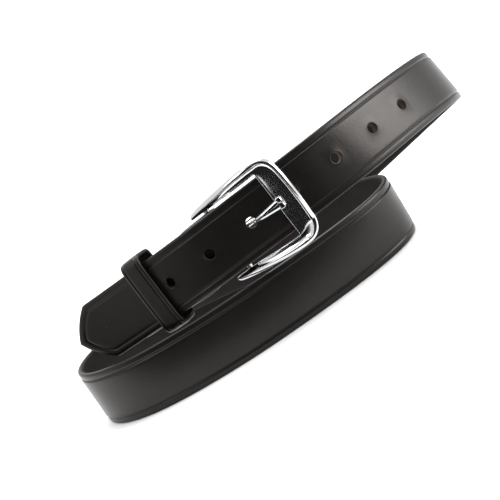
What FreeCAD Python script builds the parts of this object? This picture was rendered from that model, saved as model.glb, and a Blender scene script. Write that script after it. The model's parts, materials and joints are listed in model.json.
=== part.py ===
import FreeCAD, Part
import math
import os

V3 = FreeCAD.Vector

# A gentlemen's leather dress belt, buckled, wound into two turns and stood on its lower edge.
# +Z is up, the table is z = 0, the origin is at the middle of the coil's footprint and the buckle
# faces -Y. All sizes are in millimetres and degrees.

# ---- strap ----
STRAP_WIDTH = 32.0
STRAP_THICKNESS = 3.6
TIP_LENGTH = 14.5            # from the tip's shoulders to its point
HOLE_DIAMETER = 5.5
HOLE_PITCH = 25.4
HOLES_TO_TIP = 2             # holes between the prong's hole and the tip
HOLES_TO_COIL = 4            # holes on the other side of the prong's hole

# ---- coil ----
COIL_LENGTH = 264.0          # along X, over both turns
COIL_DEPTH = 130.0           # along Y
DRAWN_LENGTH = 264.0         # coil size that the route's points are drawn for
DRAWN_DEPTH = 130.0

# ---- buckle ----
BUCKLE_AT = (-7.0, -57.0)    # plan position of the prong's hole
BUCKLE_RISE = 42.5           # lower edge of the strap above the table, at the prong's hole
BUCKLE_TURN = 6.5            # the buckled stretch, turned about Z away from the X axis
BUCKLE_SLOPE = 6.0           # and falling towards the tip
BUCKLE_LEAN = -4.0           # outer face tipped up
WINDOW_LENGTH = 30.2         # from the heel bar's axis to the front bar's inner edge
PRONG_HOLE_SETBACK = 15.2    # from the front bar's inner edge to the prong's hole
FRONT_BAR_WIDTH = 11.4
FRONT_BAR_THICKNESS = 3.4
FRONT_BAR_LIP = 1.3          # thickness left at the inner edge of the dished front bar
RIM_WIDTH = 2.6
ARM_WIDTH = 5.0              # at the front bar, narrowing to the ends
ARM_END_WIDTH = 3.0
ARM_OVERHANG = 8.5           # past the heel bar
CORNER_RADIUS = 8.0
HEEL_BAR_DIAMETER = 3.5
HEEL_BAR_INSET = 0.2         # bar's ends, in from the arms' outer faces
FRAME_SAG = 0.6              # the frame hangs a little below the middle of the strap
PRONG_SAG = 0.5              # and the prong with it
FRAME_BOW = 0.7              # outward bow of the arms and of the front bar
ARM_ROUND_BAR = 1.2          # metal before and behind the heel bar
ARM_TIP_FRONT = 0.4          # arms' ends, before the heel bar's axis
ARM_TIP_BACK = 1.0
ARM_SWEEP_FRONT = 1.6        # bulge of the arms' front and back as they sweep in
ARM_SWEEP_BACK = 0.4
KNEE_SETBACK = 1.0           # where the sweep starts, from the front bar's inner edge
FRONT_BAR_CREST = 8.0        # from there to the front bar's highest line
FRONT_BAR_CROWN = 0.3
FRONT_BAR_DROP = 1.0         # from the crest's foot to the outer edge
FRONT_BAR_SPARE = 3.0        # length of the side outline past the front bar
DISH_BEND = 2.5              # from the rim to the dish's middle point
DISH_RISE = 0.7

# ---- prong ----
PRONG_WIDTH = 2.6
PRONG_DEPTH = 2.3
PRONG_EYE_WIDTH = 5.0
PRONG_EYE_WALL = 1.3
PRONG_CAP_WIDTH = 5.8
PRONG_CAP_LENGTH = 2.6
PRONG_CAP_RISE = 0.3         # above the prong's top
PRONG_CAP_LAP = 0.6          # of the prong inside the cap
PRONG_RISER_BACK = 0.4       # riser's left face, left of the hole's axis
PRONG_KNEE_RISE = 2.6        # crown of the bend above the strap
PRONG_EYE_BLEND = 2.5        # from the heel bar's axis to where the arm runs straight
PRONG_ROOT_FRONT = 0.6       # arm's root on the eye, before and behind the axis
PRONG_ROOT_BACK = 1.4

# ---- fold-over, keeper and fasteners ----
SKIVED_THICKNESS = 2.4       # leather thinned where it goes round the heel bar
SKIVE_LENGTH = 8.0
FOLD_RAMP = 14.0             # from the heel bar to where the fold-over lies flat
FOLD_LENGTH = 36.0
SCREW_SETBACKS = (20.5, 31.0)
SCREW_HEAD_DIAMETER = 7.5
SCREW_HEAD_THICKNESS = 0.9
POST_DIAMETER = 4.5
SCREW_DIAMETER = 3.0
KEEPER_SETBACK = 47.0        # from the heel bar
KEEPER_WIDTH = 12.0
KEEPER_THICKNESS = 2.0
KEEPER_HEADROOM = 3.2        # inside the keeper, over and under the strap's edges
KEEPER_FRONT_SLACK = 1.6     # between the billet and the front of the keeper
KEEPER_BACK_SLACK = 2.6      # between the strap behind it and the back of the keeper
KEEPER_CORNER = 5.0          # inside
STAPLE_WIRE = 0.8
STAPLE_SPAN = 7.0

SCREW_SHORT = 0.5            # between a screw's end and the bottom of its post
SLOT_WIDTH = 0.8
SLOT_DEPTH = 0.4

# ---- clearances ----
FRONT_ARM_CLEARANCE = 3.2    # arms beside the strap's edges, at the front bar
LAYER_GAP = 0.8              # between the billet and the buckle strap
FOLD_GAP = 0.1
BAR_CLEARANCE = 0.3          # heel bar inside the leather fold
EYE_CLEARANCE = 0.06         # prong's eye on the heel bar
FRAME_CLEARANCE = 0.35       # front bar over the billet
ARM_CLEARANCE = 1.9          # and at the heel bar
PRONG_CLEARANCE = 1.3        # prong under the billet
SLOT_CLEARANCE = 0.8         # fold's slot beside the prong's eye
SCREW_CLEARANCE = 0.05
POST_CLEARANCE = 0.15        # posts and screw heads in the leather
SEAT_CLEARANCE = 0.3         # screw heads on the curved leather
PRONG_REST_GAP = 0.1         # prong's end on the dished front bar

RAIL_STEP = 7.0              # spacing of the sections that shape the strap

# Worked-out places in the buckle's own frame: u runs from the tip towards the front bar, n outwards
# from the middle of the billet and v up, all from the prong's hole.
HALF_WIDTH = STRAP_WIDTH / 2
HALF_THICKNESS = STRAP_THICKNESS / 2
FRONT_EDGE_U = PRONG_HOLE_SETBACK
BAR_U = FRONT_EDGE_U - WINDOW_LENGTH
BAR_RADIUS = HEEL_BAR_DIAMETER / 2
FOLD_INNER = BAR_RADIUS + BAR_CLEARANCE
FOLD_OUTER = FOLD_INNER + SKIVED_THICKNESS
STRAP_FACE_N = -HALF_THICKNESS - LAYER_GAP
BAR_N = STRAP_FACE_N - FOLD_OUTER
BUCKLE_STRAP_N = STRAP_FACE_N - HALF_THICKNESS
FRONT_BAR_N = HALF_THICKNESS + FRAME_CLEARANCE
WINDOW_HEIGHT = STRAP_WIDTH + 2 * FRONT_ARM_CLEARANCE
LINE = (None, None)          # stands for an arc's middle point where an outline runs straight


def axes_for(along, lean):
    """Outward and up directions of the strap where it runs along a direction."""
    level_out = V3(0, 0, 1).cross(along).normalize()
    upright = along.cross(level_out)
    lean_angle = math.radians(lean)
    up = upright * math.cos(lean_angle) + level_out * math.sin(lean_angle)
    return up.cross(along), up


def buckle_direction():
    slope = math.radians(BUCKLE_SLOPE)
    turn = math.radians(BUCKLE_TURN)
    flat = math.cos(slope)
    return V3(flat * math.cos(turn), -flat * math.sin(turn), math.sin(slope))


BUCKLE_ALONG = buckle_direction()
BUCKLE_OUT, BUCKLE_UP = axes_for(BUCKLE_ALONG * -1, BUCKLE_LEAN)
BUCKLE_ORIGIN = V3(BUCKLE_AT[0], BUCKLE_AT[1], BUCKLE_RISE + HALF_WIDTH)


def in_buckle(u, n, v):
    return BUCKLE_ORIGIN + BUCKLE_ALONG * u + BUCKLE_OUT * n + BUCKLE_UP * v


# ---- the route of the strap's middle line ----
# Straight stretches beside the buckle are given in its frame, as (u, n) with the buckle's lean.
BUCKLE_STRAP_RUN = (BAR_U - SKIVE_LENGTH, BAR_U - 10, BAR_U - 12.5, BAR_U - 15)
BILLET_RUN = (40, 24, 8, -8, -22, -33)
# The rest as (x, y, height of the lower edge above the table, lean of the top edge outwards).
INNER_TURN = (
    (-43, -47.2, 36.6, -4.5),
    (-51, -43.2, 36, -5),
    (-60, -39.2, 35, -5),
    (-73, -34.5, 33, -5),
    (-85, -22, 30, -5),
    (-86, 0, 25, -4),
    (-73, 21, 20, 0),
    (-46, 37, 13, 4),
    (-8, 42, 6, 7),
    (30, 36, 1, 3),
    (57, 18, 0, 0),
    (69, -8, 0, 0),
    (57, -35, 0, 0),
    (18, -48, 0, 0),
)
OUTER_TURN = (
    (-12, -53, 0, 0),
    (-37, -56, 0, 0),
    (-64, -55, 0, 0),
    (-98, -49, 0, 0),
    (-127, -27, 0, 0),
    (-130, 9, 0, 0),
    (-97, 42, 0, 0),
    (-37, 52, 3, 6),
    (25, 56, 11, 12),
    (87, 68, 20, 12),
    (125, 45, 33, 0),
    (128, 6, 43, -14),
    (96, -27, 47, -14),
    (61, -53, 48, -12),
)
TAIL = (
    (-63, -44, 36, -5),
    (-90, -30, 32, -6),
    (-116, -21, 29.5, -8),
)


def coil_points(points):
    stretch_x = COIL_LENGTH / DRAWN_LENGTH
    stretch_y = COIL_DEPTH / DRAWN_DEPTH
    return [(V3(x * stretch_x, y * stretch_y, rise + HALF_WIDTH), lean) for x, y, rise, lean in points]


def route_points():
    points = [(in_buckle(u, BUCKLE_STRAP_N, 0), BUCKLE_LEAN) for u in BUCKLE_STRAP_RUN]
    points += coil_points(INNER_TURN)
    points += coil_points(OUTER_TURN)
    points += [(in_buckle(u, 0, 0), BUCKLE_LEAN) for u in BILLET_RUN]
    points += coil_points(TAIL)
    return points


def clamped_spline(poles):
    """Cubic spline that starts and ends on its first and last poles, with even knots."""
    spans = len(poles) - 3
    knots = [i / spans for i in range(spans + 1)]
    mults = [4] + [1] * (spans - 1) + [4]
    spline = Part.BSplineCurve()
    spline.buildFromPolesMultsKnots(poles, mults, knots, False, 3)
    return spline


ROUTE = clamped_spline([point for point, lean in route_points()])
LEANS = clamped_spline([V3(i, lean, 0) for i, (point, lean) in enumerate(route_points())])
ROUTE_LENGTH = ROUTE.length()
PRONG_HOLE_S = ROUTE.length(0, ROUTE.parameter(BUCKLE_ORIGIN))
BILLET_START_S = PRONG_HOLE_S - (HOLES_TO_COIL + 0.5) * HOLE_PITCH


class Station:
    """A place on the route: its middle point and its own directions."""

    def __init__(self, s):
        parameter = ROUTE.parameterAtDistance(s, 0)
        self.middle = ROUTE.value(parameter)
        self.along = V3(*ROUTE.tangent(parameter)[0])
        self.out, self.up = axes_for(self.along, LEANS.value(parameter).y)

    def at(self, along, out, up):
        return self.middle + self.along * along + self.out * out + self.up * up


def section(points):
    return Part.makePolygon(points + [points[0]])


def strap_band(s_start, s_end, n_low, n_high):
    """A length of flat strap that follows the route, between two distances from its middle line."""
    count = max(4, round((s_end - s_start) / RAIL_STEP))
    stations = [Station(s_start + (s_end - s_start) * i / count) for i in range(count + 1)]
    corners = ((n_low, -HALF_WIDTH), (n_high, -HALF_WIDTH), (n_high, HALF_WIDTH), (n_low, HALF_WIDTH))
    steps = [float(i) for i in range(count + 1)]
    rails = []
    for n, v in corners:
        rail = Part.BSplineCurve()
        rail.interpolate(Points=[station.at(0, n, v) for station in stations], Parameters=steps)
        rails.append(rail)
    knots = rails[0].getKnots()
    mults = rails[0].getMultiplicities()
    faces = []
    for i in range(4):
        rows = [rails[i].getPoles(), rails[(i + 1) % 4].getPoles()]
        side = Part.BSplineSurface()
        side.buildFromPolesMultsKnots(rows, [2, 2], mults, [0.0, 1.0], knots, False, False, 1, 3)
        faces.append(side.toShape())
    for station in (stations[0], stations[-1]):
        faces.append(Part.Face(section([station.at(0, n, v) for n, v in corners])))
    skin = Part.Compound(faces)
    skin.sewShape()
    solid = Part.Solid(skin.Shells[0])
    if solid.Volume < 0:
        solid.reverse()
    return solid


def extruded(points, direction):
    return Part.Face(section(points)).extrude(direction)


def rod(centre, axis, radius, length):
    """A cylinder centred on a point."""
    return Part.makeCylinder(radius, length, centre - axis * (length / 2), axis)


def buckle_block(u_range, n_range, v_range):
    low_u, high_u = u_range
    low_v, high_v = v_range
    corners = ((low_u, low_v), (high_u, low_v), (high_u, high_v), (low_u, high_v))
    points = [in_buckle(u, n_range[0], v) for u, v in corners]
    return extruded(points, BUCKLE_OUT * (n_range[1] - n_range[0]))


def across_buckle(outline, v_low, v_high):
    """A side outline of (u, n) points and arcs, extruded up the buckle."""
    edges = []
    for start, middle, end in outline:
        places = [in_buckle(u, n, v_low) for u, n in (start, middle, end) if (u, n) != (None, None)]
        edges.append(Part.makeLine(*places) if len(places) == 2 else Part.Arc(*places).toShape())
    return Part.Face(Part.Wire(edges)).extrude(BUCKLE_UP * (v_high - v_low))


# ---- strap ----
def fold():
    """The skived end of the buckle strap round the heel bar, up to where the fold-over lies flat."""
    face = STRAP_FACE_N - BAR_N
    flat = face - STRAP_THICKNESS - FOLD_GAP
    left = BAR_U - SKIVE_LENGTH
    ramp = BAR_U - FOLD_RAMP
    outline = (
        ((left, BAR_N + face), LINE, (BAR_U, BAR_N + FOLD_OUTER)),
        ((BAR_U, BAR_N + FOLD_OUTER), (BAR_U + FOLD_OUTER, BAR_N), (BAR_U, BAR_N - FOLD_OUTER)),
        ((BAR_U, BAR_N - FOLD_OUTER), LINE, (ramp, BAR_N + flat - SKIVED_THICKNESS)),
        ((ramp, BAR_N + flat - SKIVED_THICKNESS), LINE, (ramp, BAR_N + flat)),
        ((ramp, BAR_N + flat), LINE, (BAR_U, BAR_N - FOLD_INNER)),
        ((BAR_U, BAR_N - FOLD_INNER), (BAR_U + FOLD_INNER, BAR_N), (BAR_U, BAR_N + FOLD_INNER)),
        ((BAR_U, BAR_N + FOLD_INNER), LINE, (left, BAR_N + face - STRAP_THICKNESS)),
        ((left, BAR_N + face - STRAP_THICKNESS), LINE, (left, BAR_N + face)),
    )
    return across_buckle(outline, -HALF_WIDTH, HALF_WIDTH)


def fold_over():
    top = -HALF_THICKNESS - FOLD_GAP
    return strap_band(FOLD_RAMP - SKIVE_LENGTH, FOLD_LENGTH - SKIVE_LENGTH, top - SKIVED_THICKNESS, top)


def prong_slot():
    half = PRONG_EYE_WIDTH / 2 + SLOT_CLEARANCE
    reach = FOLD_OUTER + 1
    slot = buckle_block((BAR_U - reach, BAR_U + reach), (BAR_N - reach, BAR_N + reach), (-half, half))
    end = rod(in_buckle(BAR_U - reach, BAR_N, 0), BUCKLE_OUT, half, 2 * reach)
    return slot.fuse(end)


def tip_waste():
    """What is cut away to leave the pointed tip: two slightly rounded cuts that meet on the middle."""
    end = Station(ROUTE_LENGTH)
    half_way = TIP_LENGTH * 0.42
    depth = 2 * STRAP_THICKNESS
    spare = TIP_LENGTH / 2
    cuts = []
    for side in (-1, 1):
        corner = end.at(0, -depth, 0)
        middle = end.at(-half_way, -depth, side * HALF_WIDTH * 0.55)
        shoulder = end.at(-TIP_LENGTH, -depth, side * HALF_WIDTH)
        outside = end.at(-TIP_LENGTH, -depth, side * (HALF_WIDTH + spare))
        beyond = end.at(spare, -depth, side * (HALF_WIDTH + spare))
        ahead = end.at(spare, -depth, 0)
        edges = [Part.Arc(corner, middle, shoulder).toShape()]
        for start, stop in ((shoulder, outside), (outside, beyond), (beyond, ahead), (ahead, corner)):
            edges.append(Part.makeLine(start, stop))
        cuts.append(Part.Face(Part.Wire(edges)).extrude(end.out * (2 * depth)))
    return cuts


def hole_stations():
    offsets = range(-HOLES_TO_COIL, HOLES_TO_TIP + 1)
    return [Station(PRONG_HOLE_S + i * HOLE_PITCH) for i in offsets]


def screw_stations():
    return [Station(setback - SKIVE_LENGTH) for setback in SCREW_SETBACKS]


def billet():
    """The pointed end with its row of punched holes."""
    body = strap_band(BILLET_START_S, ROUTE_LENGTH, -HALF_THICKNESS, HALF_THICKNESS)
    for cutter in tip_waste():
        body = body.cut(cutter)
    for station in hole_stations():
        body = body.cut(rod(station.middle, station.out, HOLE_DIAMETER / 2, 3 * STRAP_THICKNESS))
    return body


def strap():
    coil = strap_band(0, BILLET_START_S, -HALF_THICKNESS, HALF_THICKNESS)
    looped = coil.fuse([fold(), fold_over()])
    deep = STRAP_THICKNESS + SKIVED_THICKNESS + FOLD_GAP
    cutters = [prong_slot()]
    for station in screw_stations():
        post_hole = POST_DIAMETER / 2 + POST_CLEARANCE
        cutters.append(rod(station.at(0, -deep / 2, 0), station.out, post_hole, 2 * deep))
        recess = station.at(0, HALF_THICKNESS, 0)
        seat_depth = SCREW_HEAD_THICKNESS + POST_CLEARANCE
        cutters.append(rod(recess, station.out, SCREW_HEAD_DIAMETER / 2 + POST_CLEARANCE, 2 * seat_depth))
    return looped.cut(cutters).fuse(billet()).Solids[0]


# ---- buckle ----
def window_half_height(u):
    """Half the gap between the arms, which close in a little towards the heel bar."""
    near_bar = HALF_WIDTH + ARM_CLEARANCE
    share = max(0, (u - BAR_U) / WINDOW_LENGTH)
    return near_bar + (WINDOW_HEIGHT / 2 - near_bar) * share


def frame_plan():
    """Outer and inner outlines of the horseshoe, seen from the front, as one face."""
    end_u = BAR_U - ARM_OVERHANG
    front_u = FRONT_EDGE_U + FRONT_BAR_WIDTH
    inner_front = window_half_height(FRONT_EDGE_U)
    inner_end = window_half_height(end_u)
    outer_front = inner_front + ARM_WIDTH
    outer_end = inner_end + ARM_END_WIDTH
    low = BAR_N - 2 * FOLD_OUTER
    r = CORNER_RADIUS
    diagonal = r * (1 - math.sqrt(0.5))
    edges = []

    def place(u, v):
        return in_buckle(u, low, v - FRAME_SAG)

    def line(start, stop):
        edges.append(Part.makeLine(place(*start), place(*stop)))

    def arc(start, middle, stop):
        edges.append(Part.Arc(place(*start), place(*middle), place(*stop)).toShape())

    half_way = (end_u + front_u - r) / 2
    bulge = (outer_end + outer_front) / 2 + FRAME_BOW
    arc((end_u, outer_end), (half_way, bulge), (front_u - r, outer_front))
    arc((front_u - r, outer_front), (front_u - diagonal, outer_front - diagonal), (front_u, outer_front - r))
    arc((front_u, outer_front - r), (front_u + FRAME_BOW, 0), (front_u, r - outer_front))
    arc((front_u, r - outer_front), (front_u - diagonal, diagonal - outer_front),
        (front_u - r, -outer_front))
    arc((front_u - r, -outer_front), (half_way, -bulge), (end_u, -outer_end))
    line((end_u, -outer_end), (end_u, -inner_end))
    line((end_u, -inner_end), (FRONT_EDGE_U, -inner_front))
    line((FRONT_EDGE_U, -inner_front), (FRONT_EDGE_U, inner_front))
    line((FRONT_EDGE_U, inner_front), (end_u, inner_end))
    line((end_u, inner_end), (end_u, outer_end))
    return Part.Face(Part.Wire(edges))


def frame_side():
    """Side outline of the frame: the front bar lies on the billet, the arms sweep in to the heel bar."""
    end_u = BAR_U - ARM_OVERHANG
    front_u = FRONT_EDGE_U + FRONT_BAR_WIDTH + FRONT_BAR_SPARE
    back = FRONT_BAR_N
    front = FRONT_BAR_N + FRONT_BAR_THICKNESS
    arm_half = BAR_RADIUS + ARM_ROUND_BAR
    knee = FRONT_EDGE_U - KNEE_SETBACK
    tip_front = BAR_N + ARM_TIP_FRONT
    tip_back = BAR_N - ARM_TIP_BACK
    edge = front - FRONT_BAR_DROP
    middle_u = (BAR_U + knee) / 2
    top_middle = (BAR_N + arm_half + front) / 2 + ARM_SWEEP_FRONT
    low_middle = (BAR_N - arm_half + back) / 2 + ARM_SWEEP_BACK
    return (
        ((end_u, tip_back), LINE, (end_u, tip_front)),
        ((end_u, tip_front), LINE, (BAR_U, BAR_N + arm_half)),
        ((BAR_U, BAR_N + arm_half), (middle_u, top_middle), (knee, front)),
        ((knee, front), (knee + FRONT_BAR_CREST, front + FRONT_BAR_CROWN), (front_u, edge)),
        ((front_u, edge), LINE, (front_u, back)),
        ((front_u, back), LINE, (knee, back)),
        ((knee, back), (middle_u, low_middle), (BAR_U, BAR_N - arm_half)),
        ((BAR_U, BAR_N - arm_half), LINE, (end_u, tip_back)),
    )


def front_bar_dish():
    """The shallow hollow across the front bar, deepest at its inner edge and ending at the rim."""
    shallow = FRONT_BAR_N + FRONT_BAR_LIP
    top = FRONT_BAR_N + FRONT_BAR_THICKNESS
    high = top + FRONT_BAR_THICKNESS
    inside_u = FRONT_EDGE_U - KNEE_SETBACK
    rim_u = FRONT_EDGE_U + FRONT_BAR_WIDTH - RIM_WIDTH
    half = window_half_height(FRONT_EDGE_U)
    outline = (
        ((inside_u, shallow), LINE, (FRONT_EDGE_U, shallow)),
        ((FRONT_EDGE_U, shallow), (rim_u - DISH_BEND, shallow + DISH_RISE), (rim_u, top)),
        ((rim_u, top), LINE, (rim_u, high)),
        ((rim_u, high), LINE, (inside_u, high)),
        ((inside_u, high), LINE, (inside_u, shallow)),
    )
    return across_buckle(outline, -half - FRAME_SAG, half - FRAME_SAG)


def bar_length():
    return 2 * (window_half_height(BAR_U) + ARM_END_WIDTH - HEEL_BAR_INSET)


def buckle_frame():
    plan = frame_plan().extrude(BUCKLE_OUT * WINDOW_LENGTH)
    tall = WINDOW_HEIGHT
    side = across_buckle(frame_side(), -tall, tall)
    bore = rod(in_buckle(BAR_U, BAR_N, -FRAME_SAG), BUCKLE_UP, BAR_RADIUS, bar_length())
    return plan.common(side).cut([front_bar_dish(), bore]).Solids[0]


def heel_bar():
    return rod(in_buckle(BAR_U, BAR_N, -FRAME_SAG), BUCKLE_UP, BAR_RADIUS, bar_length())


# ---- prong ----
def prong():
    """Eye on the heel bar, arm under the billet, riser through the hole and cap on the front bar."""
    eye_outer = BAR_RADIUS + EYE_CLEARANCE + PRONG_EYE_WALL
    centre = in_buckle(BAR_U, BAR_N, -PRONG_SAG)
    eye = rod(centre, BUCKLE_UP, eye_outer, PRONG_EYE_WIDTH)
    arm_top = -HALF_THICKNESS - PRONG_CLEARANCE
    arm_low = arm_top - PRONG_DEPTH
    arm_start = BAR_U + PRONG_EYE_BLEND
    root_front = BAR_N + PRONG_ROOT_FRONT
    root_back = BAR_N - PRONG_ROOT_BACK
    left = -PRONG_RISER_BACK
    right = left + PRONG_DEPTH
    middle = (left + right) / 2
    rest = FRONT_BAR_N + FRONT_BAR_LIP + PRONG_REST_GAP
    top = rest + PRONG_DEPTH
    face = HALF_THICKNESS + FRAME_CLEARANCE
    half = PRONG_WIDTH / 2
    cap_half = PRONG_CAP_WIDTH / 2
    end_u = FRONT_EDGE_U + PRONG_CAP_LAP
    crown = (middle, HALF_THICKNESS + PRONG_KNEE_RISE)
    arm = (
        ((BAR_U, root_front), LINE, (arm_start, arm_top)),
        ((arm_start, arm_top), LINE, (left, arm_top)),
        ((left, arm_top), LINE, (left, face)),
        ((left, face), crown, (right + PRONG_CAP_LAP, rest + PRONG_DEPTH / 2)),
        ((right + PRONG_CAP_LAP, rest + PRONG_DEPTH / 2), LINE, (end_u, top)),
        ((end_u, top), LINE, (end_u, rest)),
        ((end_u, rest), LINE, (right, face)),
        ((right, face), LINE, (right, arm_low)),
        ((right, arm_low), LINE, (arm_start, arm_low)),
        ((arm_start, arm_low), LINE, (BAR_U, root_back)),
        ((BAR_U, root_back), LINE, (BAR_U, root_front)),
    )
    cap_block = buckle_block((FRONT_EDGE_U, FRONT_EDGE_U + PRONG_CAP_LENGTH), (rest, top + PRONG_CAP_RISE),
                             (-cap_half - PRONG_SAG, cap_half - PRONG_SAG))
    body = eye.fuse([across_buckle(arm, -half - PRONG_SAG, half - PRONG_SAG), cap_block]).removeSplitter()
    return body.cut(rod(centre, BUCKLE_UP, BAR_RADIUS + EYE_CLEARANCE, 4 * PRONG_EYE_WIDTH)).Solids[0]


# ---- keeper ----
def keeper_station():
    return Station(PRONG_HOLE_S - BAR_U + KEEPER_SETBACK)


def rounded_loop(station, half_along, n_low, n_high, half_height, corner):
    """A solid rounded rectangle across the strap."""
    inset = corner * (1 - math.sqrt(0.5))
    signs = ((1, 1), (-1, 1), (-1, -1), (1, -1))
    middle = (n_high + n_low) / 2
    half_depth = (n_high - n_low) / 2

    def place(n_sign, v_sign, n_in, v_in):
        return station.at(-half_along, middle + n_sign * (half_depth - n_in), v_sign * (half_height - v_in))

    edges = []
    for i, (n_sign, v_sign) in enumerate(signs):
        bend = (place(n_sign, v_sign, 0, corner), place(n_sign, v_sign, inset, inset),
                place(n_sign, v_sign, corner, 0))
        if i % 2:
            bend = bend[::-1]
        following = signs[(i + 1) % 4]
        onward = place(*following, corner, 0) if i % 2 == 0 else place(*following, 0, corner)
        edges.append(Part.Arc(*bend).toShape())
        edges.append(Part.makeLine(bend[2], onward))
    return Part.Face(Part.Wire(edges)).extrude(station.along * (2 * half_along))


def keeper_inside():
    """Inner faces of the keeper, across the billet and the strap behind it."""
    front = HALF_THICKNESS + KEEPER_FRONT_SLACK
    back = -HALF_THICKNESS - LAYER_GAP - STRAP_THICKNESS - KEEPER_BACK_SLACK
    return back, front


def keeper():
    station = keeper_station()
    back, front = keeper_inside()
    height = HALF_WIDTH + KEEPER_HEADROOM
    wall = KEEPER_THICKNESS
    outer_corner = KEEPER_CORNER + wall
    outside = rounded_loop(station, KEEPER_WIDTH / 2, back - wall, front + wall, height + wall, outer_corner)
    inside = rounded_loop(station, KEEPER_WIDTH, back, front, height, KEEPER_CORNER)
    return outside.cut([inside] + staple_legs(station, back))


def staple_legs(station, back):
    legs = []
    for side in (-1, 1):
        centre = station.at(0, back - KEEPER_THICKNESS / 2, side * STAPLE_SPAN / 2)
        legs.append(rod(centre, station.out, STAPLE_WIRE / 2, KEEPER_THICKNESS))
    return legs


def keeper_staple():
    """A wire staple through the keeper's joint, its bridge on the outside."""
    station = keeper_station()
    back = keeper_inside()[0]
    middle = station.at(0, back - KEEPER_THICKNESS - STAPLE_WIRE / 2, 0)
    bridge = rod(middle, station.up, STAPLE_WIRE / 2, STAPLE_SPAN + STAPLE_WIRE)
    legs = []
    for side in (-1, 1):
        root = station.at(0, back - KEEPER_THICKNESS - STAPLE_WIRE / 2, side * STAPLE_SPAN / 2)
        length = KEEPER_THICKNESS + STAPLE_WIRE / 2
        legs.append(Part.makeCylinder(STAPLE_WIRE / 2, length, root, station.out))
    return bridge.fuse(legs).removeSplitter()


# ---- fold-over screws ----
def grip():
    layers = STRAP_THICKNESS - SCREW_HEAD_THICKNESS + FOLD_GAP + SKIVED_THICKNESS
    return layers + SEAT_CLEARANCE


def screw_posts():
    """Two posts whose heads lie flush in the buckle strap, under the billet."""
    posts = []
    for station in screw_stations():
        top = station.at(0, HALF_THICKNESS, 0)
        head = Part.makeCylinder(SCREW_HEAD_DIAMETER / 2, SCREW_HEAD_THICKNESS, top, station.out * -1)
        shoulder = station.at(0, HALF_THICKNESS - SCREW_HEAD_THICKNESS, 0)
        barrel = Part.makeCylinder(POST_DIAMETER / 2, grip() - SCREW_CLEARANCE, shoulder, station.out * -1)
        bore_start = station.at(0, HALF_THICKNESS - SCREW_HEAD_THICKNESS, 0)
        bore_radius = SCREW_DIAMETER / 2 + SCREW_CLEARANCE
        bore = Part.makeCylinder(bore_radius, 2 * grip(), bore_start, station.out * -1)
        posts.append(head.fuse(barrel).cut(bore).Solids[0])
    return Part.Compound(posts)


def screws():
    """Two screws that close the posts from the wearer's side, each with a driver slot."""
    pieces = []
    for station in screw_stations():
        seat = HALF_THICKNESS - SCREW_HEAD_THICKNESS - grip()
        head = Part.makeCylinder(SCREW_HEAD_DIAMETER / 2, SCREW_HEAD_THICKNESS, station.at(0, seat, 0),
                                 station.out * -1)
        shank = Part.makeCylinder(SCREW_DIAMETER / 2, grip() - SCREW_SHORT, station.at(0, seat, 0),
                                  station.out)
        slot_low = seat - SCREW_HEAD_THICKNESS
        across = SLOT_WIDTH / 2
        reach = SCREW_HEAD_DIAMETER
        corners = ((-across, -reach), (across, -reach), (across, reach), (-across, reach))
        slot = extruded([station.at(a, slot_low, v) for a, v in corners], station.out * SLOT_DEPTH)
        pieces.append(head.fuse(shank).cut(slot).Solids[0])
    return Part.Compound(pieces)


def export(name, shape):
    shape.exportStep("parts/" + name + ".step")
    print(name, len(shape.Solids), "solids", round(shape.Volume), "mm3", shape.isValid())


os.makedirs("parts", exist_ok=True)
print("route", round(ROUTE_LENGTH, 1), "prong hole at", round(PRONG_HOLE_S, 1))
export("strap", strap())
export("buckle_frame", buckle_frame())
export("heel_bar", heel_bar())
export("prong", prong())
export("keeper", keeper())
export("keeper_staple", keeper_staple())
export("screw_posts", screw_posts())
export("screws", screws())
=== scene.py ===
import bpy
import bmesh
import json
import math
from bisect import bisect_right
from mathutils import Matrix, Vector


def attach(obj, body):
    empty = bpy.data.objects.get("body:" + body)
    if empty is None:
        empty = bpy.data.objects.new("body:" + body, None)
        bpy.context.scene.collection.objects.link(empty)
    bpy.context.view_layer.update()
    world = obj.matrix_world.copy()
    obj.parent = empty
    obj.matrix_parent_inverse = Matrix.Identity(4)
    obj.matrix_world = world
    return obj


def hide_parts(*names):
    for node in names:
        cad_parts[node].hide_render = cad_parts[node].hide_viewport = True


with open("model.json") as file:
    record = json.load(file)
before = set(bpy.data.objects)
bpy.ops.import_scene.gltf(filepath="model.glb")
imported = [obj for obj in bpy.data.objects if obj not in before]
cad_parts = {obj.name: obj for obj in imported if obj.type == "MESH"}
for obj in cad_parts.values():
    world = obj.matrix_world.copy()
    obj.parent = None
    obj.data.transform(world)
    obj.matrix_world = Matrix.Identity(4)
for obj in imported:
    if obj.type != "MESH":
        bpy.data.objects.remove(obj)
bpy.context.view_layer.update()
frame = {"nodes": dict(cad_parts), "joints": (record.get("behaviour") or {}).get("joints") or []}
mm = 0.001


# small helpers
def finished(bm, name, materials, body, replaced=(), crisp=180):
    # closes a piece: one mesh at the origin, riding on its body
    mesh = bpy.data.meshes.new(name)
    bm.to_mesh(mesh)
    bm.free()
    for material in materials:
        mesh.materials.append(material)
    for polygon in mesh.polygons:
        polygon.use_smooth = True
    mesh.set_sharp_from_angle(angle=math.radians(crisp))
    piece = bpy.data.objects.new(name, mesh)
    bpy.context.scene.collection.objects.link(piece)
    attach(piece, body)
    if replaced:
        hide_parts(*replaced)
    print(name, len(mesh.polygons), "faces")
    return piece


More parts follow.
